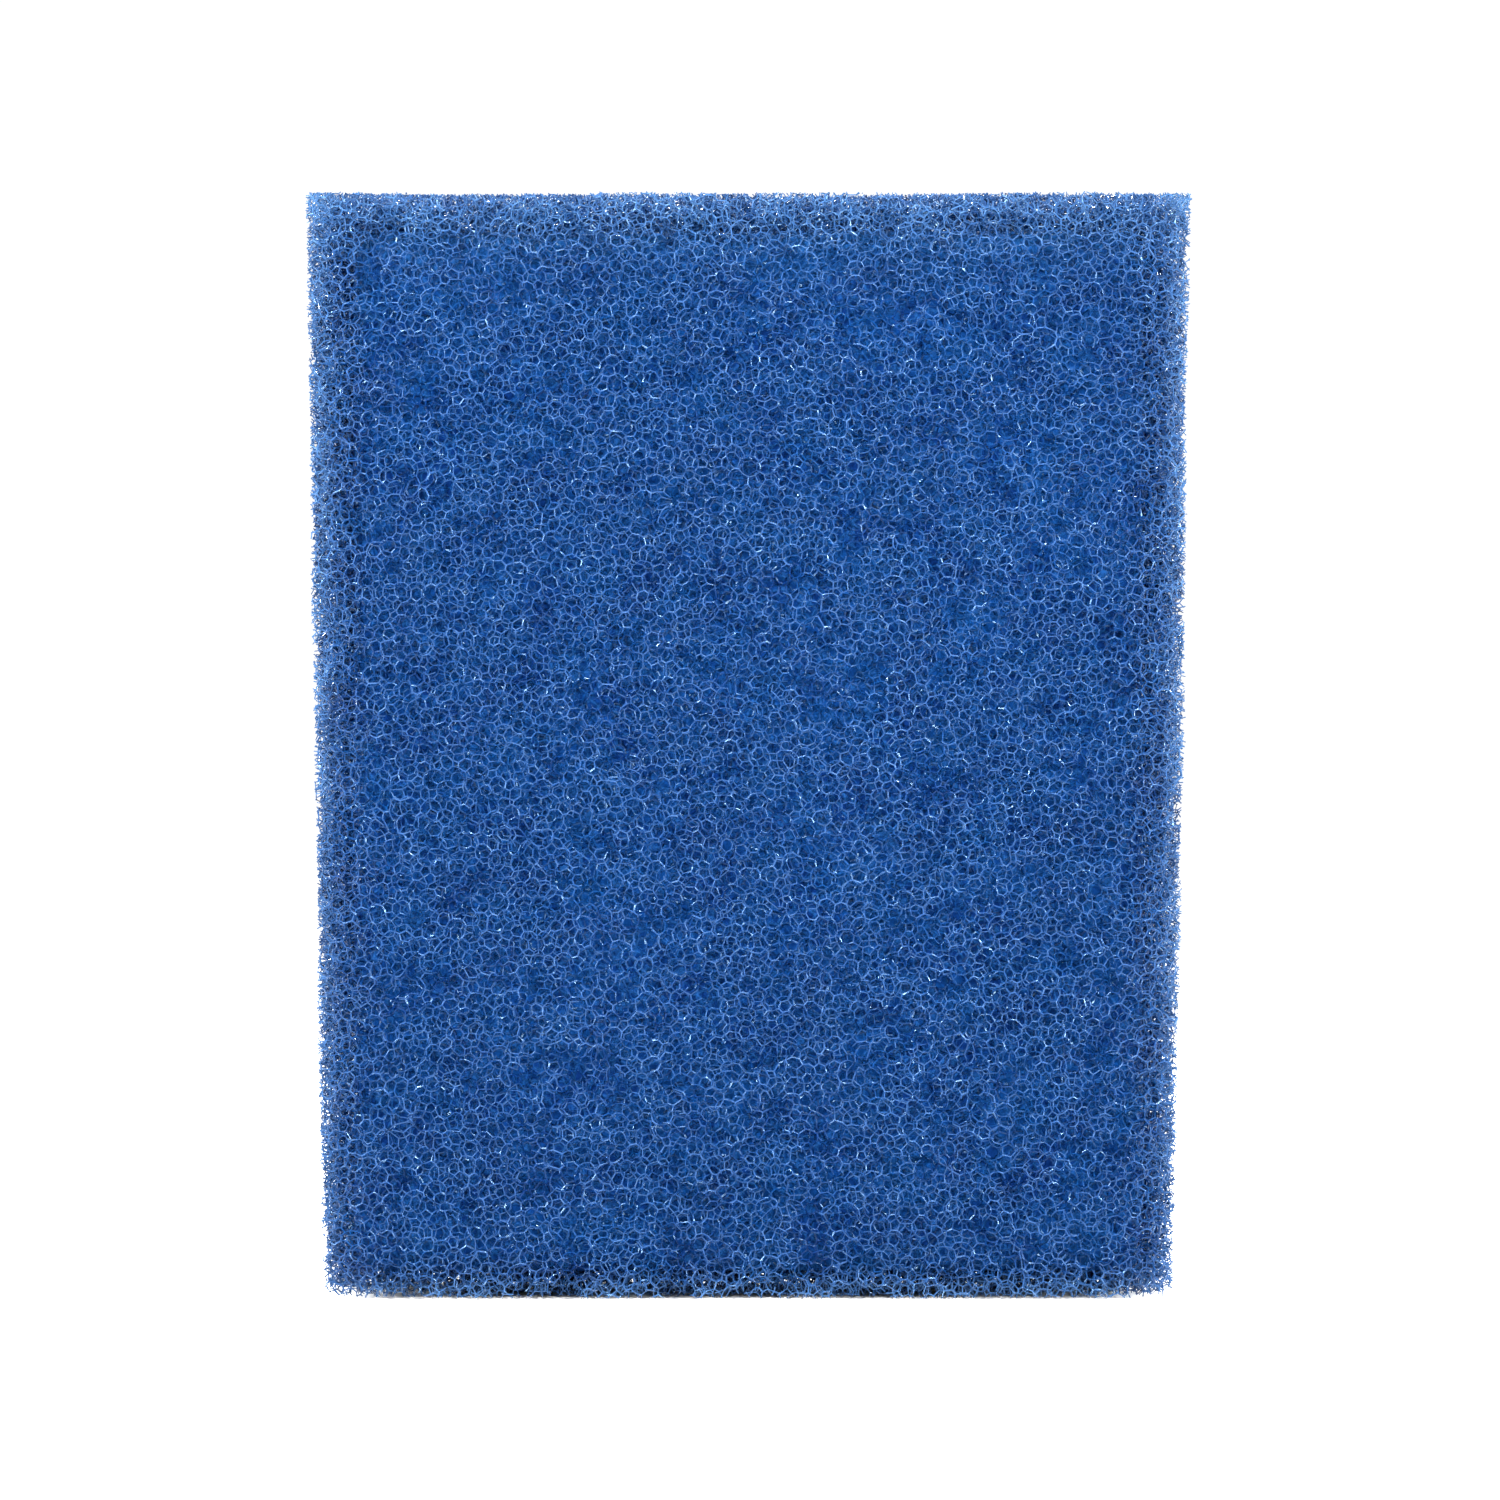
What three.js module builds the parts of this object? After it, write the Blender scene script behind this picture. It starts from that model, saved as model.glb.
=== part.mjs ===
// Filter-foam pad of a pond or aquarium sponge filter: one rectangular block of
// coarse open-cell foam, cut square from a bun and stood on its short end.
// Millimetres, +Z up. The origin is the middle of the face it stands on, +X runs
// across the broad faces and the water flows through them along Y.
import * as THREE from 'three';
import { RoundedBoxGeometry } from 'three/addons/geometries/RoundedBoxGeometry.js';

// Driving dimensions, mm.
const PAD_WIDTH = 135; // across the broad faces
const PAD_HEIGHT = 172; // standing height
const PAD_THICKNESS = 50; // the water's way through the foam

// The knife leaves the edges square, and the soft foam rounds them by about half a cell.
const CELL_SIZE = 2.5;
const EDGE_RADIUS = CELL_SIZE / 2;
const EDGE_SEGMENTS = 3;

const foam = new THREE.MeshStandardMaterial({
  name: 'foam',
  color: new THREE.Color().setStyle('rgb(37, 82, 148)'),
  roughness: 0.75,
  metalness: 0,
});

// The foam as the closed outer shape of its block: the cells are far finer than the
// part's fits, so the envelope is what fills a filter chamber.
function foamPad() {
  const block = new RoundedBoxGeometry(
    PAD_WIDTH, PAD_THICKNESS, PAD_HEIGHT, EDGE_SEGMENTS, EDGE_RADIUS,
  );
  const pad = new THREE.Mesh(block, foam);
  pad.name = 'foam_pad';
  pad.position.z = PAD_HEIGHT / 2;
  return pad;
}

const spongeFilter = new THREE.Group();
spongeFilter.add(foamPad());

export default spongeFilter;
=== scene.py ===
"""Filter-foam pad of a sponge filter, as a real network of foam struts round a dark core.

The foam is grown the way the real one is: bubbles packed at random, a strut wherever three
bubbles meet, a node wherever four meet, and then the block is cut square by a knife.
"""
import math

import bpy
import numpy as np
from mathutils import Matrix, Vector
from mathutils.kdtree import KDTree


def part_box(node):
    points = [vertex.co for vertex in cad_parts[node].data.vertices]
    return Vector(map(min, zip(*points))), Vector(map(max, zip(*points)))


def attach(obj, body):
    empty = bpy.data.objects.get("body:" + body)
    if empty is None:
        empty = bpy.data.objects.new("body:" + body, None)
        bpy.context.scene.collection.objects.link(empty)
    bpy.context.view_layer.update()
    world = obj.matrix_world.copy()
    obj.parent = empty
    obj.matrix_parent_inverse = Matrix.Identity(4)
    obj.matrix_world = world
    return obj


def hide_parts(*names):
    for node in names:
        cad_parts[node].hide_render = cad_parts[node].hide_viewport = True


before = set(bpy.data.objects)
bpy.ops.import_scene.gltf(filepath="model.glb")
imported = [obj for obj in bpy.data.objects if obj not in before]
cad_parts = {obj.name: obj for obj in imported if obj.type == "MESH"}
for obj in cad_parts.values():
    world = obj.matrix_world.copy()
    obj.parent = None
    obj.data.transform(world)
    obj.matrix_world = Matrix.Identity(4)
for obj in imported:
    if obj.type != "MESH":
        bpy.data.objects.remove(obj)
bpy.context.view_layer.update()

PAD_LOW, PAD_HIGH = (np.array(corner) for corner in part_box("foam_pad"))
PAD_SIZE = PAD_HIGH - PAD_LOW
PAD_CENTRE = (PAD_LOW + PAD_HIGH) / 2

# The foam, in metres. A cell is the spacing of the bubbles, and their mean diameter is 1.16 of it.
CELL = 0.0024
SKIN = 2.4 * CELL  # how deep the struts are modelled before the core hides the rest
FOOT_SKIN = 1.5 * CELL  # the same at the bottom, which stands on the floor
CORE_ROUND = 0.004
NODE_RADIUS = 0.051 * CELL
WAIST_RADIUS = 0.042 * CELL  # at the ends of cut struts, and half way where patches meet
UNEVEN = (0.85, 1.15)  # the least and the most that a radius is multiplied by
NODE_SHARE = 0.42  # how much of its shortest strut a node may take up
BUBBLES_PER_CUBE = 1.22  # bubbles in a cube one cell wide, packed at random
SPARE_CELLS = 1.9  # how far bubbles reach past the pad, so that its faces cut through whole ones
BUBBLE_DEPTH = 1.8 * CELL  # how far inside the core's surface bubbles are still grown
CORE_STEP = 0.00085  # width of the core's faces
POCKET = 0.0008  # how far each bubble dents the core
POCKET_REACH = 0.55 * CELL  # how far from its middle a bubble dents it
EDGE_ROUND = 0.0003
KNIFE_WANDER = 0.00018
WANDER_LENGTHS = (0.031, 0.052, 0.083, 0.12)  # wavelengths of the knife's wander
LEAN = 0.0013  # how far the cut sides lean out at the top and in at the bottom
THICKENING = 0.25  # how much thicker struts are drawn for each cell of depth
JAG = 0.00006  # how unevenly the knife cuts nodes off
WHISKER = 0.0006  # how far a whisker stands out of the cut at most
WHISKER_SHARE = 0.015  # how many nodes near the cut are whiskers
STUB = 0.0003  # how far the stub of a cut strut runs on past the cut at most
STUB_LEAST = 1.2  # the shortest stub, in radii of its node
ROOT = 0.3 * CELL  # how far struts run on into the core
# The reach of the painted daylight near the pad's edges.
SIDE_LEAK = 0.002  # how far into the foam daylight leaks past the narrow sides and the bottom
LEAK = 0.006  # how far it leaks past the other faces
SHADE_CELLS = 1.5  # how deep the struts are that the sky still lights
SEED = 11

# The skin's patches: face, the axis and count of its columns, the axis and count of its rows.
FACE_TILES = (
    ("left", 1, 1, 2, 3),
    ("front", 0, 2, 2, 4),
    ("bottom", 0, 3, 1, 1),
    ("right", 1, 1, 2, 3),
    ("back", 0, 2, 2, 4),
    ("top", 0, 3, 1, 1),
)

# Colours are linear. The struts go from dark to pale in mottles. Painted light turns them to skylit
# at the cut faces, leaving the deeper ones darker as painted shade, and to lit where daylight leaks
# in near the edges. The core has pores and haze in mottles, and lines, and the same painted light
# near the edges.
MOTTLE_EDGES = (0.3, 0.7)  # the noise values between which a mottle turns from one to the other
STRUT_DARK = (0.001, 0.012, 0.070)
STRUT_PALE = (0.002, 0.028, 0.112)
# painted light at the cut faces of the pad; deeper struts keep the darker mottles as painted shade
STRUT_SKYLIT = (0.016, 0.045, 0.128)
# painted light where daylight leaks in near the pad's edges
STRUT_LIT = (0.028, 0.078, 0.18)
SKYLIT_SHARE = 0.85
LIT_SHARE = 0.8
STRUT_MOTTLE = 0.35 / CELL  # scale of the mottles
STRUT_ROUGHNESS = (0.20, 0.36)
STRUT_SHINE = 0.17
SHINE_TINT = (0.5, 0.8, 1.0)
GLOSS_MOTTLE = 1.5 / CELL
GLOSS_EDGES = (0.35, 0.65)
FLECK = 0.0004  # length of the flecks along a strut
FLECK_HEIGHT = 0.12 * FLECK
FLECK_STRENGTH = 0.4
CORE_PORE = (0.0005, 0.012, 0.074)
CORE_HAZE = (0.001, 0.024, 0.108)
CORE_LINE = (0.004, 0.036, 0.135)
# painted light where daylight leaks in near the pad's edges
CORE_LIT = (0.012, 0.070, 0.18)
CORE_MOTTLE = 0.3 / CELL
CORE_ROUGHNESS = (0.8, 0.5)  # between the lines and on them
CORE_SHINE = 0.03
NEAR_BUBBLE = 1.1 * CELL
NEAR_LINE = 0.13  # how wide the lines are, beside a bubble
FAR_BUBBLE = 0.8 * CELL
FAR_LINE = 0.10
FAR_SHARE = 0.6  # how strong the lines of the further bubbles are
LINE_HEIGHT = 0.2 * CELL
LINE_STRENGTH = 0.5

# The studio. Lamps stand this many pad heights sideways, to the front or the back, and up.
WORLD_STRENGTH = 1.04
FLOOR_ALBEDO = 0.97
FLOOR_ROUGHNESS = 0.9
FLOOR_REACH = 3.0
FLOOR_GAP = 0.0005
PANEL = 0.05  # width of the panels
KEY_PLACE, KEY_WATTS = (2.6, 2.6, 3.2), 9.0
FILL_PLACE, FILL_WATTS = (3.4, 2.2, 1.0), 6.3
SPARK_PLACE = (0.9, 3.4, 3.0)
BACK_SHARE = 0.6  # how strong the panels behind the pad are beside those in front
TOP_PLACE, TOP_WATTS = (0, 0.3, 5), 19.0
TOP_CONE = math.radians(16)
TOP_BLEND = 0.5
TOP_SIZE = 0.04

# The camera: distance in pad heights, pitch in degrees, how much of the picture's height the pad's
# front fills, and the shift that puts it where it stands in the photo.
VIEW_DISTANCE = 12.0
VIEW_PITCH = 1.5
PAD_FILL = 0.737
VIEW_SHIFT = (0.0010, -0.0052)
SENSOR = 36.0

CORE_LOW = PAD_LOW + (SKIN, SKIN, FOOT_SKIN)
CORE_HIGH = PAD_HIGH - (SKIN, SKIN, SKIN)
CORE_HALF = (CORE_HIGH - CORE_LOW) / 2
CORE_CENTRE = (CORE_HIGH + CORE_LOW) / 2

rng = np.random.default_rng(SEED)


# ---------------------------------------------------------------- bubbles and the network


def lattice(low, high):
    """A body-centred lattice of bubble centres, in cells, before they are shaken."""
    step = (2 / BUBBLES_PER_CUBE) ** (1 / 3)  # each cube of the lattice holds two bubbles
    axes = [np.arange(a, b, step) for a, b in zip(low, high)]
    grid = np.stack(np.meshgrid(*axes, indexing="ij"), -1).reshape(-1, 3)
    return np.concatenate([grid, grid + step / 2])


def nearest(points, count):
    """The ids of the nearest points to each point, the point itself first."""
    tree = KDTree(len(points))
    for i, p in enumerate(points):
        tree.insert(p, i)
    tree.balance()
    found = np.empty((len(points), count), np.int32)
    for i, p in enumerate(points):
        found[i] = [hit[1] for hit in tree.find_n(p, count)]
    return found


def shaken(points, shake=0.6, uneven=0.15, rounds=12, push=0.45, reach=0.5, count=19):
    """Shakes the lattice out of order, then pushes apart the bubbles that overlap.

    The neighbours are found anew every third round.
    """
    points = points + rng.normal(0, shake, points.shape)
    size = reach * np.exp(rng.normal(0, uneven, len(points)))
    for i in range(rounds):
        if i % 3 == 0:
            near = nearest(points, count)[:, 1:]
            both = size[:, None] + size[near]
        away = points[:, None] - points[near]
        gap = np.linalg.norm(away, axis=2)
        overlap = np.clip(both - gap, 0, None)
        points = points + push * (away * (overlap / gap)[..., None]).sum(1)
    return points


def outside_box(points, half, rounding):
    """How far each point is outside a rounded box round the origin, negative inside."""
    past = np.abs(points) - half + rounding
    return np.linalg.norm(np.maximum(past, 0), axis=1) + np.minimum(past.max(1), 0) - rounding


def outside_core(points):
    return outside_box(points - CORE_CENTRE, CORE_HALF, CORE_ROUND)


def equal_distances(arm, later, triples, largest):
    """The points equally far from a bubble and three of its neighbours, if not too far.

    arm leads from each bubble to its neighbours. Returns the bubbles, the triples and the points,
    each point as seen from its bubble.
    """
    j, k, m = triples
    first, second = np.triu_indices(arm.shape[1], 1)
    pair = np.zeros((arm.shape[1],) * 2, np.int32)
    pair[first, second] = np.arange(len(first))
    square = (arm**2).sum(2)
    cross = np.cross(arm[:, first], arm[:, second])
    s, t = np.nonzero(later[:, j] & later[:, k] & later[:, m])
    km = cross[s, pair[k, m][t]]
    volume = (arm[s, j[t]] * km).sum(1)
    top = (
        square[s, j[t], None] * km
        - square[s, k[t], None] * cross[s, pair[j, m][t]]
        + square[s, m[t], None] * cross[s, pair[j, k][t]]
    )
    small = (top**2).sum(1) < (2 * largest * volume) ** 2
    return s[small], t[small], top[small] / (2 * volume[small, None])


def meeting_points(bubbles, count=24, few=8, largest=1.0, batch=400, touching=1e-9):
    """Every four bubbles that meet at a point, sorted, and the point: the Voronoi vertices.

    A point belongs to four bubbles when it is equally far from them and no other is nearer.
    Each four is looked for once, among the nearest neighbours of its first bubble. The nearest
    few neighbours rule out most points, so they are asked first.
    """
    near = nearest(bubbles, count + 1)[:, 1:]
    ids = range(count)
    triples = np.array([(a, b, c) for a in ids for b in ids[a + 1 :] for c in ids[b + 1 :]]).T
    fours, points = [], []
    for start in range(0, len(bubbles), batch):
        own = np.arange(start, min(start + batch, len(bubbles)))
        around = near[own]
        arm = bubbles[around] - bubbles[own][:, None]
        square = (arm**2).sum(2)
        s, t, centre = equal_distances(arm, around > own[:, None], triples, largest)
        for low, high in ((0, few), (few, count)):
            reach = 2 * (centre[:, None] * arm[s, low:high]).sum(2)
            empty = ~(reach - square[s, low:high] > touching).any(1)
            s, t, centre = s[empty], t[empty], centre[empty]
        j, k, m = triples[:, t]
        fours.append(np.stack([own[s], around[s, j], around[s, k], around[s, m]], 1))
        points.append(centre + bubbles[own[s]])
    return np.sort(np.concatenate(fours), 1), np.concatenate(points)


# The three bubbles of the face opposite each of a node's four bubbles, and the films between
# pairs of bubbles: film 0 is between bubbles 0 and 1, and so on.
FACES = np.array([(1, 2, 3), (0, 2, 3), (0, 1, 3), (0, 1, 2)])
FILMS = [(0, 1), (0, 2), (0, 3), (1, 2), (1, 3), (2, 3)]
FACE_FILMS = np.array([(3, 4, 5), (1, 2, 5), (0, 2, 4), (0, 1, 3)])
CELL_FILMS = np.array([(0, 2, 1), (0, 3, 4), (5, 3, 1), (5, 2, 4)])


def struts_between(fours, bubbles):
    """The struts: pairs of nodes that share three bubbles, as (node, face) at both ends.

    Three bubbles that more than two nodes share are left out.
    """
    nodes = np.repeat(np.arange(len(fours)), 4)
    faces = np.tile(np.arange(4), len(fours))
    three = fours[:, FACES].reshape(-1, 3).astype(np.int64)
    key = (three[:, 0] * len(bubbles) + three[:, 1]) * len(bubbles) + three[:, 2]
    order = np.argsort(key, kind="stable")
    ordered = key[order]
    same = np.nonzero(ordered[1:] == ordered[:-1])[0]
    extra = np.isin(ordered[same], ordered[2:][ordered[2:] == ordered[:-2]])
    same = same[~extra]
    one, two = order[same], order[same + 1]
    return np.stack([nodes[one], faces[one], nodes[two], faces[two]], 1)


def eased(points, struts, rounds=3, pull=0.5):
    """Draws each node towards its neighbours, which evens struts out as surface tension does."""
    near, far = struts[:, 0], struts[:, 2]
    ends, others = np.concatenate([near, far]), np.concatenate([far, near])
    count = np.maximum(np.bincount(ends, minlength=len(points)), 1)
    for _ in range(rounds):
        mean = np.stack(
            [np.bincount(ends, points[others, axis], len(points)) / count for axis in range(3)], 1
        )
        alone = np.bincount(ends, minlength=len(points)) < 4
        mean[alone] = points[alone]
        points = points + pull * (mean - points)
    return points


def unit(vectors):
    return vectors / np.maximum(np.linalg.norm(vectors, axis=-1, keepdims=True), 1e-12)


def wobble(points):
    """How far the knife wandered from the true face at each point: a few waves at odd angles."""
    total = np.zeros(len(points))
    for turn, length in enumerate(WANDER_LENGTHS):
        way = np.array([math.sin(3 * turn + 1), math.cos(2 * turn), math.sin(5 * turn + 2)])
        total += np.sin(points @ (way * 2 * math.pi / length) + turn * 1.7)
    return total * KNIFE_WANDER / 2


def depth_below_cut(points):
    """How far each point is below the cut surface of the pad, with its soft edges."""
    local = points - PAD_CENTRE
    local[:, 0] *= 1 - LEAN / (PAD_SIZE[0] / 2) * local[:, 2] / (PAD_SIZE[2] / 2)
    return -outside_box(local, PAD_SIZE / 2, EDGE_ROUND) - wobble(points)


def kept_nodes(points, depth, core_gap, struts, rounds=10):
    """The nodes inside the skin that hang together, without crumbs that the knife cut free."""
    count = len(points)
    jag = rng.normal(0, JAG, count)
    whisker = (rng.random(count) < WHISKER_SHARE) * rng.random(count) * WHISKER
    loose_end = jag + whisker
    above_foot = points[:, 2] > PAD_LOW[2] + NODE_RADIUS
    kept = (depth + loose_end > 0) & (core_gap > 0) & above_foot
    a, b = struts[:, 0], struts[:, 2]
    both = kept[a] & kept[b]
    a, b = a[both], b[both]
    held = kept & (depth > CELL)
    for _ in range(rounds):
        held[a] |= held[b]
        held[b] |= held[a]
    return kept & held


def film_corners(points, struts, radius):
    """Each node's six corners, one in each film that meets there: the cusps of its four struts."""
    arms = np.zeros((len(points), 4, 3))
    way = unit(points[struts[:, 2]] - points[struts[:, 0]])
    arms[struts[:, 0], struts[:, 1]] = way
    arms[struts[:, 2], struts[:, 3]] = -way
    missing = ~arms.any(2)
    arms[missing] = np.repeat(-arms.sum(1)[:, None], 4, 1)[missing]
    pairs = np.array(FILMS)[::-1]  # a film between two bubbles is edged by the other two's struts
    bisector = unit(arms[:, pairs[:, 0]] + arms[:, pairs[:, 1]])
    return points[:, None] + bisector * radius[:, None, None]


def sections(middle, way, hints, radius, turning):
    """A three-cornered section of each strut at its middle point, its cusps towards its films."""
    side = unit(np.cross(way, hints[:, 0]))
    up = np.cross(side, way)
    third = np.arange(3) * 2 * math.pi / 3 * turning[:, None]
    flat = hints - (hints * way[:, None]).sum(2, keepdims=True) * way[:, None]
    angle = np.arctan2((flat * side[:, None]).sum(2), (flat * up[:, None]).sum(2)) - third
    mean = np.arctan2(np.sin(angle).sum(1), np.cos(angle).sum(1))
    turn = mean[:, None] + third
    ring = np.cos(turn)[..., None] * up[:, None] + np.sin(turn)[..., None] * side[:, None]
    return middle[:, None] + ring * radius[:, None, None]


class Network:
    """Corners and faces of the struts, each face with the patch it belongs to."""

    def __init__(self, corners):
        self.corners = [corners]
        self.count = len(corners)
        self.threes, self.fours = [], []

    def add_ring(self, ring):
        """Adds rings of three corners, and returns their ids."""
        ids = self.count + np.arange(ring.shape[0] * 3).reshape(-1, 3)
        self.corners.append(ring.reshape(-1, 3))
        self.count += ids.size
        return ids

    def cap(self, ring, turning, patch):
        """Closes rings of three corners, facing along their strut; turning is 1 or -1."""
        flipped = np.where(turning[:, None] > 0, ring, ring[:, [0, 2, 1]])
        self.threes.append(np.column_stack([flipped, patch]))

    def sleeve(self, start, end, turning, patch):
        """Joins rings of three corners by the three sides of a bar."""
        for a, b in ((0, 1), (1, 2), (2, 0)):
            p, q = np.where(turning > 0, (start[:, a], start[:, b]), (start[:, b], start[:, a]))
            r, s = np.where(turning > 0, (end[:, b], end[:, a]), (end[:, a], end[:, b]))
            self.fours.append(np.column_stack([p, q, r, s, patch]))


def patches(points):
    """The patch of the skin that each node is in: its nearest face, then a tile of that face."""
    inset = np.stack([points - PAD_LOW, PAD_HIGH - points], 1).reshape(len(points), 6)
    face = inset.argmin(1)
    number = np.zeros(len(points), int)
    names, first = [], 0
    for side, (name, across, columns, up, rows) in enumerate(FACE_TILES):
        here = face == side
        u = (points[here] - PAD_LOW)[:, across] / PAD_SIZE[across]
        v = (points[here] - PAD_LOW)[:, up] / PAD_SIZE[up]
        column = np.clip((u * columns).astype(int), 0, columns - 1)
        row = np.clip((v * rows).astype(int), 0, rows - 1)
        number[here] = first + row * columns + column
        names += [f"foam_{name}_{i + 1}" for i in range(rows * columns)]
        first += rows * columns
    return number, names


class Foam:
    """The nodes and struts, and what the bars round them are built from."""

    def __init__(self, bubbles, fours, points, struts):
        a, b, c, d = bubbles[fours].swapaxes(0, 1)
        self.handed = np.sign((np.cross(b - a, c - a) * (d - a)).sum(1))
        opposite = self.turnings(*struts[:, :2].T) != self.turnings(*struts[:, 2:].T)
        self.struts = struts[opposite]
        self.points = points
        self.depth = depth_below_cut(points)
        self.core_gap = outside_core(points)
        self.kept = kept_nodes(points, self.depth, self.core_gap, self.struts)
        self.patch, self.names = patches(points)
        self.radius = self.radii()
        self.corners = film_corners(points, self.struts, self.radius).reshape(-1, 3)

    def turnings(self, node, face):
        """Which way the film corners on this face of each node turn, seen from outside."""
        return self.handed[node] * np.where(face % 2 == 1, 1, -1)

    def ring(self, node, face):
        """The film corners on this face of each node, and which way they turn."""
        return 6 * node[:, None] + FACE_FILMS[face], self.turnings(node, face)

    def radii(self):
        """Each node's radius: more with depth, and never too much for its shortest strut."""
        near, far = self.struts[:, 0], self.struts[:, 2]
        length = np.linalg.norm(self.points[near] - self.points[far], axis=1)
        shortest = np.full(len(self.points), CELL)
        np.minimum.at(shortest, near, length)
        np.minimum.at(shortest, far, length)
        thick = NODE_RADIUS * (1 + THICKENING * np.clip(self.depth / CELL, 0, None))
        return np.minimum(thick * rng.uniform(*UNEVEN, len(thick)), NODE_SHARE * shortest)

    def left_over(self, node, other, span):
        """How much of each cut strut stays on its kept node, as a share of its length."""
        inward = self.core_gap[other] < 0
        here = np.where(inward, self.core_gap[node], self.depth[node])
        there = np.where(inward, self.core_gap[other], self.depth[other])
        share = here / np.where(here == there, 1, here - there)
        extra = np.where(inward, ROOT, STUB * rng.random(len(node))) / span
        least = STUB_LEAST * self.radius[node] / span
        return np.clip(np.where(here < 0, 0, share) + extra, least, 1)


def add_nodes(net, foam):
    """The faces of every kept node that look into its four bubbles."""
    ids = np.nonzero(foam.kept)[0]
    for films in CELL_FILMS:
        net.cap(6 * ids[:, None] + films, foam.handed[ids], foam.patch[ids])


def add_struts(net, foam):
    """The struts between kept nodes. One that crosses from patch to patch is closed half way."""
    whole = foam.kept[foam.struts[:, 0]] & foam.kept[foam.struts[:, 2]]
    one, face_one, two, face_two = foam.struts[whole].T
    across = foam.patch[one] != foam.patch[two]
    near, turning = foam.ring(one[~across], face_one[~across])
    far, _ = foam.ring(two[~across], face_two[~across])
    net.sleeve(near, far, turning, foam.patch[one[~across]])

    one, face_one, two, face_two = foam.struts[whole][across].T
    near, near_turning = foam.ring(one, face_one)
    far, far_turning = foam.ring(two, face_two)
    start, end = foam.points[one], foam.points[two]
    hints = foam.corners[near] - start[:, None] + foam.corners[far] - end[:, None]
    thick = WAIST_RADIUS * rng.uniform(*UNEVEN, len(one))
    waist = net.add_ring(sections((start + end) / 2, unit(end - start), hints, thick, near_turning))
    for ring, turning, node in ((near, near_turning, one), (far, far_turning, two)):
        net.sleeve(ring, waist, turning, foam.patch[node])
        net.cap(waist, turning, foam.patch[node])


def add_stubs(net, foam):
    """A stub on every kept node for each strut that the knife or the core cuts."""
    for near, far in ((0, 2), (2, 0)):
        cut = foam.kept[foam.struts[:, near]] & ~foam.kept[foam.struts[:, far]]
        node, face, other = foam.struts[cut][:, (near, near + 1, far)].T
        ring, turning = foam.ring(node, face)
        start = foam.points[node]
        span = np.linalg.norm(foam.points[other] - start, axis=1)
        way = unit(foam.points[other] - start)
        tip = start + way * (foam.left_over(node, other, span) * span)[:, None]
        hints = foam.corners[ring] - start[:, None]
        thick = np.full(len(node), WAIST_RADIUS)
        stub = net.add_ring(sections(tip, way, hints, thick, turning))
        net.sleeve(ring, stub, turning, foam.patch[node])
        net.cap(stub, turning, foam.patch[node])


def close_lone_faces(net, foam):
    """Closes the faces of kept nodes where no strut was found."""
    lone = np.ones((len(foam.points), 4), bool)
    lone[foam.struts[:, 0], foam.struts[:, 1]] = False
    lone[foam.struts[:, 2], foam.struts[:, 3]] = False
    node, face = np.nonzero(lone & foam.kept[:, None])
    ring, turning = foam.ring(node, face)
    net.cap(ring, turning, foam.patch[node])


def built_network(foam):
    net = Network(foam.corners)
    add_nodes(net, foam)
    add_struts(net, foam)
    add_stubs(net, foam)
    close_lone_faces(net, foam)
    return net


def daylight(points):
    """How much painted daylight each point gets past the nearest edge of the pad, as a share of lit
    colour.
    """
    low = (points - PAD_LOW) / (SIDE_LEAK, LEAK, SIDE_LEAK)
    high = (PAD_HIGH - points) / (SIDE_LEAK, LEAK, LEAK)
    second = np.sort(np.concatenate([low, high], 1), 1)[:, 1]
    return np.exp(-np.maximum(second, 0))


def skylight_share(points):
    """1 at the cut faces of the pad, falling to 0 where other struts shade the foam: the share of
    painted skylight, deeper struts left in painted shade.
    """
    return np.clip(1 - depth_below_cut(points) / (SHADE_CELLS * CELL), 0, 1)


def build_mesh(name, corners, threes, fours):
    """A mesh of the corners that these faces use, with how much painted light each gets as its
    attributes.
    """
    used, index = np.unique(np.concatenate([threes.ravel(), fours.ravel()]), return_inverse=True)
    mesh = bpy.data.meshes.new(name)
    mesh.vertices.add(len(used))
    mesh.vertices.foreach_set("co", corners[used].astype(np.float32).ravel())
    mesh.loops.add(len(index))
    mesh.loops.foreach_set("vertex_index", index.astype(np.int32).ravel())
    mesh.polygons.add(len(threes) + len(fours))
    starts = np.concatenate([np.arange(len(threes)) * 3, threes.size + np.arange(len(fours)) * 4])
    mesh.polygons.foreach_set("loop_start", starts.astype(np.int32))
    mesh.update(calc_edges=True)
    mesh.shade_smooth()
    # the shares of painted light: where daylight leaks in near the edges, and at the cut faces
    for label, values in (("leak", daylight(corners[used])), ("painted_skylight", skylight_share(corners[used]))):
        attribute = mesh.attributes.new(label, "FLOAT", "POINT")
        attribute.data.foreach_set("value", values.astype(np.float32))
    return mesh


def add_object(name, mesh, material):
    piece = bpy.data.objects.new(name, mesh)
    mesh.materials.append(material)
    bpy.context.scene.collection.objects.link(piece)
    return piece


# ---------------------------------------------------------------- materials


def new_material(name):
    material = bpy.data.materials.new(name)
    material.use_nodes = True
    tree = material.node_tree
    return material, tree, tree.nodes["Principled BSDF"]


def noise(tree, scale, detail):
    """Noise on the object's own coordinates, from 0 to 1 about 0.5."""
    place = tree.nodes.new("ShaderNodeTexCoord")
    texture = tree.nodes.new("ShaderNodeTexNoise")
    texture.inputs["Scale"].default_value = scale
    texture.inputs["Detail"].default_value = detail
    tree.links.new(place.outputs["Object"], texture.inputs["Vector"])
    return texture.outputs["Fac"]


def spread(tree, value, start, end, low, high):
    """value from start to end, as low to high, smoothly."""
    scaled = tree.nodes.new("ShaderNodeMapRange")
    scaled.interpolation_type = "SMOOTHSTEP"
    for name, number in (("From Min", start), ("From Max", end), ("To Min", low), ("To Max", high)):
        scaled.inputs[name].default_value = number
    tree.links.new(value, scaled.inputs["Value"])
    return scaled.outputs["Result"]


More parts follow.
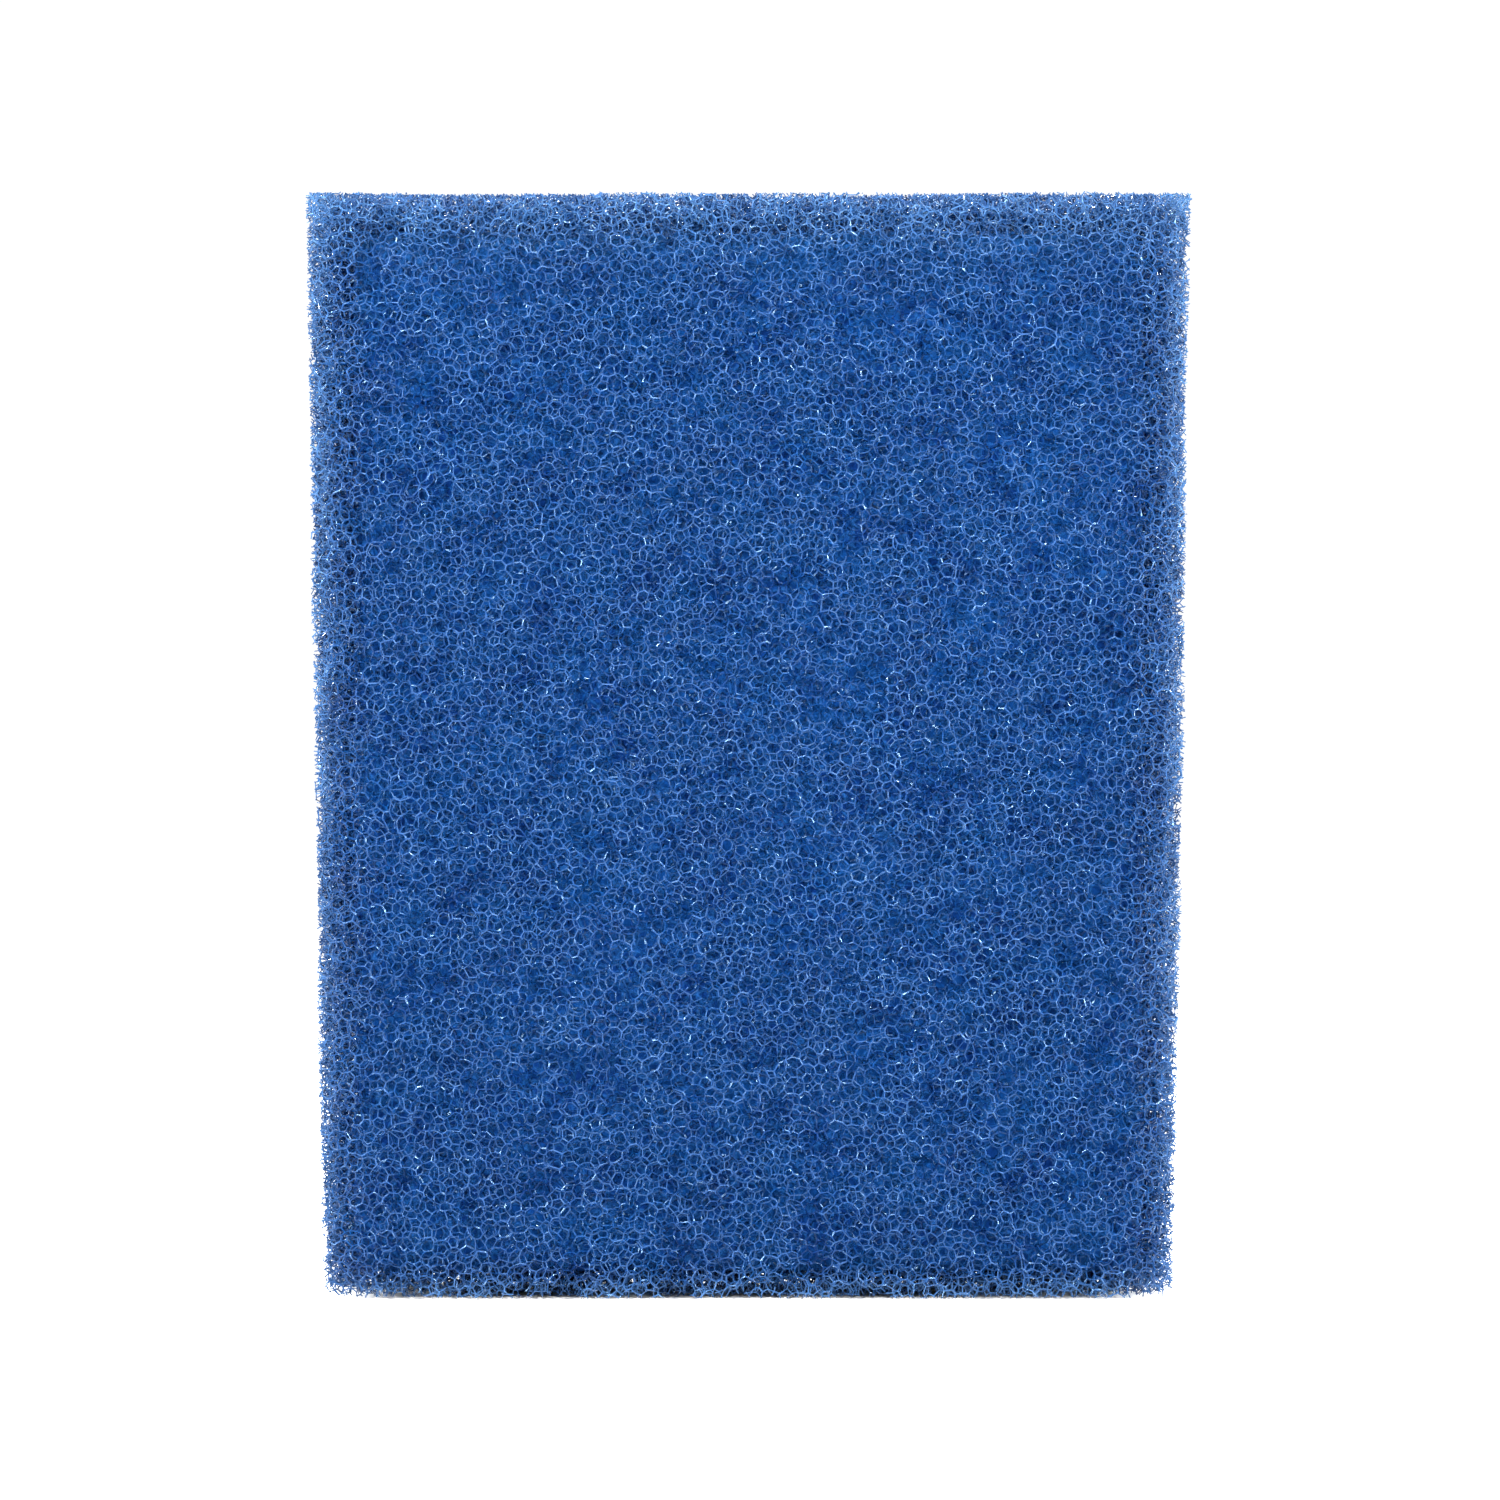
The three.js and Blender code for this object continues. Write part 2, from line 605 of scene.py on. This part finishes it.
def blend(tree, share, first, second):
    """A mix of two colours, each a socket or three numbers, by a share that is a socket."""
    mix = tree.nodes.new("ShaderNodeMix")
    mix.data_type = "RGBA"
    tree.links.new(share, mix.inputs["Factor"])
    for name, colour in (("A", first), ("B", second)):
        if isinstance(colour, tuple):
            mix.inputs[name].default_value = (*colour, 1)
        else:
            tree.links.new(colour, mix.inputs[name])
    return mix.outputs["Result"]


def turned(tree, colour, label, other, most):
    """A colour that turns into another, by at most this share, where the mesh attribute is 1."""
    attribute = tree.nodes.new("ShaderNodeAttribute")
    attribute.attribute_name = label
    share = spread(tree, attribute.outputs["Fac"], 0.0, 1.0, 0.0, most)
    return blend(tree, share, colour, other)


def roughened(tree, height, strength, distance):
    """A normal bumped by a height that is a socket."""
    bump = tree.nodes.new("ShaderNodeBump")
    bump.inputs["Strength"].default_value = strength
    bump.inputs["Distance"].default_value = distance
    tree.links.new(height, bump.inputs["Height"])
    return bump.outputs["Normal"]


def strut_material():
    """Dyed polyurethane: mottled by a few cells, paler in painted light at the cut faces and near
    the edges, glossy, with flecks along each strut.
    """
    material, tree, shader = new_material("foam_struts")
    mottle = spread(tree, noise(tree, STRUT_MOTTLE, 3.0), *MOTTLE_EDGES, 0.0, 1.0)
    colour = blend(tree, mottle, STRUT_DARK, STRUT_PALE)
    # painted light: the struts at the cut faces turn paler, the deeper ones stay darker as painted
    # shade
    colour = turned(tree, colour, "painted_skylight", STRUT_SKYLIT, SKYLIT_SHARE)
    # painted light where daylight leaks in near the pad's edges
    colour = turned(tree, colour, "leak", STRUT_LIT, LIT_SHARE)
    tree.links.new(colour, shader.inputs["Base Color"])
    gloss = spread(tree, noise(tree, GLOSS_MOTTLE, 2.0), *GLOSS_EDGES, *STRUT_ROUGHNESS)
    tree.links.new(gloss, shader.inputs["Roughness"])
    flecks = roughened(tree, noise(tree, 1 / FLECK, 1.0), FLECK_STRENGTH, FLECK_HEIGHT)
    facets = tree.nodes.new("ShaderNodeNewGeometry").outputs["True Normal"]
    tree.links.new(facets, flecks.node.inputs["Normal"])
    tree.links.new(flecks, shader.inputs["Normal"])
    shader.inputs["Specular IOR Level"].default_value = STRUT_SHINE
    shader.inputs["Specular Tint"].default_value = (*SHINE_TINT, 1)
    return material


def bubble_edges(tree, width, line):
    """Lines along the walls of bubbles of this width, 1 on a wall and 0 beyond line of it."""
    place = tree.nodes.new("ShaderNodeTexCoord")
    edges = tree.nodes.new("ShaderNodeTexVoronoi")
    edges.feature = "DISTANCE_TO_EDGE"
    edges.inputs["Scale"].default_value = 1 / width
    tree.links.new(place.outputs["Object"], edges.inputs["Vector"])
    return spread(tree, edges.outputs["Distance"], 0.0, line, 1.0, 0.0)


def core_material():
    """The foam further in: bubbles of two layers, one behind the other, drawn as their edges, paler
    in painted light near the pad's edges.
    """
    material, tree, shader = new_material("foam_heart")
    near = bubble_edges(tree, NEAR_BUBBLE, NEAR_LINE)
    far = bubble_edges(tree, FAR_BUBBLE, FAR_LINE)
    both = tree.nodes.new("ShaderNodeMath")
    both.operation = "MULTIPLY_ADD"
    both.inputs[1].default_value = FAR_SHARE
    tree.links.new(far, both.inputs[0])
    tree.links.new(near, both.inputs[2])
    lines = both.outputs[0]
    mottle = spread(tree, noise(tree, CORE_MOTTLE, 2.0), *MOTTLE_EDGES, 0.0, 1.0)
    pore = blend(tree, mottle, CORE_PORE, CORE_HAZE)
    colour = blend(tree, lines, pore, CORE_LINE)
    # painted light where daylight leaks in near the pad's edges
    colour = turned(tree, colour, "leak", CORE_LIT, 1.0)
    tree.links.new(colour, shader.inputs["Base Color"])
    gloss = spread(tree, lines, 0.0, 1.0, *CORE_ROUGHNESS)
    tree.links.new(gloss, shader.inputs["Roughness"])
    ridges = roughened(tree, lines, LINE_STRENGTH, LINE_HEIGHT)
    tree.links.new(ridges, shader.inputs["Normal"])
    shader.inputs["Specular IOR Level"].default_value = CORE_SHINE
    return material


# The corners of a square, in the order that faces out on a box's low side and on its high side.
SQUARES = (((0, 0), (0, 1), (1, 1), (1, 0)), ((0, 0), (1, 0), (1, 1), (0, 1)))


def box_faces(counts):
    """The faces of a box of unit steps, as corners in whole steps, all facing out."""
    faces = []
    for axis in range(3):
        across, up = (axis + 1) % 3, (axis + 2) % 3
        u, v = np.meshgrid(np.arange(counts[across]), np.arange(counts[up]), indexing="ij")
        for end, around in enumerate(SQUARES):
            quads = np.zeros((u.size, 4, 3), np.int64)
            quads[:, :, axis] = end * counts[axis]
            for corner, (du, dv) in enumerate(around):
                quads[:, corner, across] = u.ravel() + du
                quads[:, corner, up] = v.ravel() + dv
            faces.append(quads)
    return np.concatenate(faces)


def foam_core(material, bubbles):
    """The foam too deep to see into: a closed body dented by the bubbles that it meets."""
    counts = np.round(2 * CORE_HALF / CORE_STEP).astype(int)
    quads = box_faces(counts)
    steps, index = np.unique(quads.reshape(-1, 3), axis=0, return_inverse=True)
    flat = (steps / counts * 2 - 1) * CORE_HALF
    inner = np.clip(flat, CORE_ROUND - CORE_HALF, CORE_HALF - CORE_ROUND)
    out = unit(flat - inner)
    points = CORE_CENTRE + inner + out * CORE_ROUND
    tree = KDTree(len(bubbles))
    for i, bubble in enumerate(bubbles * CELL):
        tree.insert(bubble, i)
    tree.balance()
    gap = np.array([tree.find(point)[2] for point in points])
    points += out * (POCKET * (np.minimum(gap / POCKET_REACH, 1) - 1))[:, None]
    no_threes = np.empty((0, 3), np.int64)
    mesh = build_mesh("foam_core", points, no_threes, index.reshape(-1, 4))
    return add_object("foam_core", mesh, material)


# ---------------------------------------------------------------- studio


def metres(place, side, depth):
    """A place in pad heights as metres: side -1 is the left, depth -1 is in front."""
    across, forward, up = place
    height = PAD_SIZE[2]
    return (side * across * height, depth * forward * height, up * height)


def place_light(name, data, place):
    """Puts a lamp at this place and turns it to the middle of the pad."""
    lamp = bpy.data.objects.new(name, data)
    lamp.location = place
    lamp.rotation_euler = (Vector(PAD_CENTRE) - Vector(place)).to_track_quat("-Z", "Y").to_euler()
    bpy.context.scene.collection.objects.link(lamp)


def add_panel(name, place, watts):
    data = bpy.data.lights.new(name, "AREA")
    data.size = PANEL
    data.energy = watts
    place_light(name, data, place)


def add_top_lamp():
    """A lamp above the pad whose cone takes in the pad and little of the floor."""
    data = bpy.data.lights.new("top_lamp", "SPOT")
    data.spot_size = TOP_CONE
    data.spot_blend = TOP_BLEND
    data.shadow_soft_size = TOP_SIZE
    data.energy = TOP_WATTS
    place_light("top_lamp", data, metres(TOP_PLACE, 1, -1))


def add_sky():
    world = bpy.data.worlds.new("studio")
    world.use_nodes = True
    background = world.node_tree.nodes["Background"]
    background.inputs["Color"].default_value = (1, 1, 1, 1)
    background.inputs["Strength"].default_value = WORLD_STRENGTH
    bpy.context.scene.world = world


def add_floor():
    mesh = bpy.data.meshes.new("floor")
    far = FLOOR_REACH
    square = [(-far, -far, 0), (far, -far, 0), (far, far, 0), (-far, far, 0)]
    mesh.from_pydata(square, [], [(0, 1, 2, 3)])
    material, _, shader = new_material("floor")
    shader.inputs["Base Color"].default_value = (FLOOR_ALBEDO, FLOOR_ALBEDO, FLOOR_ALBEDO, 1)
    shader.inputs["Roughness"].default_value = FLOOR_ROUGHNESS
    floor = add_object("floor", mesh, material)
    floor.location.z = PAD_LOW[2] - FLOOR_GAP


def studio():
    add_sky()
    add_floor()
    for end, depth, share in (("front", -1, 1.0), ("back", 1, BACK_SHARE)):
        for name, side in ((f"{end}_left", -1), (f"{end}_right", 1)):
            add_panel(f"{name}_key", metres(KEY_PLACE, side, depth), share * KEY_WATTS)
            add_panel(f"{name}_fill", metres(FILL_PLACE, side, depth), share * FILL_WATTS)
            add_panel(f"{name}_spark", metres(SPARK_PLACE, side, depth), share * FILL_WATTS)
    add_top_lamp()
    bpy.context.scene.view_settings.view_transform = "Standard"


def camera():
    data = bpy.data.cameras.new("camera")
    data.sensor_width = SENSOR
    eye = bpy.data.objects.new("camera", data)
    distance = VIEW_DISTANCE * PAD_SIZE[2]
    pitch = math.radians(VIEW_PITCH)
    back, up = distance * math.cos(pitch), distance * math.sin(pitch)
    eye.location = (0, PAD_CENTRE[1] - back, PAD_CENTRE[2] + up)
    eye.rotation_euler = (math.pi / 2 - pitch, 0, 0)
    data.shift_x, data.shift_y = VIEW_SHIFT
    data.lens = SENSOR * PAD_FILL * (distance - PAD_SIZE[1] / 2) / (PAD_SIZE[2] * math.cos(pitch))
    bpy.context.scene.collection.objects.link(eye)
    bpy.context.scene.camera = eye


def grown_foam():
    """The bubbles round the skin, and the network of struts between them."""
    bubbles = lattice(PAD_LOW / CELL - SPARE_CELLS, PAD_HIGH / CELL + SPARE_CELLS)
    near_skin = outside_core(bubbles * CELL) > -BUBBLE_DEPTH
    bubbles = shaken(bubbles[near_skin])
    fours, points = meeting_points(bubbles)
    struts = struts_between(fours, bubbles)
    points = eased(points, struts) * CELL
    return bubbles, fours, points, struts


def skin_pieces(net, names, material):
    """One closed mesh of struts for each patch, with nothing below the foot of the pad."""
    corners = np.concatenate(net.corners)
    corners[:, 2] = np.maximum(corners[:, 2], PAD_LOW[2])
    threes = np.concatenate(net.threes)
    quads = np.concatenate(net.fours)
    pieces = []
    for number, name in enumerate(names):
        own_threes = threes[threes[:, 3] == number, :3]
        own_quads = quads[quads[:, 4] == number, :4]
        mesh = build_mesh(name, corners, own_threes, own_quads)
        pieces.append(add_object(name, mesh, material))
    return pieces


bubbles, fours, points, struts = grown_foam()
foam = Foam(bubbles, fours, points, struts)
pieces = skin_pieces(built_network(foam), foam.names, strut_material())
pieces.append(foam_core(core_material(), bubbles))
for piece in pieces:
    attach(piece, "root")
    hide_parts("foam_pad")
studio()
camera()
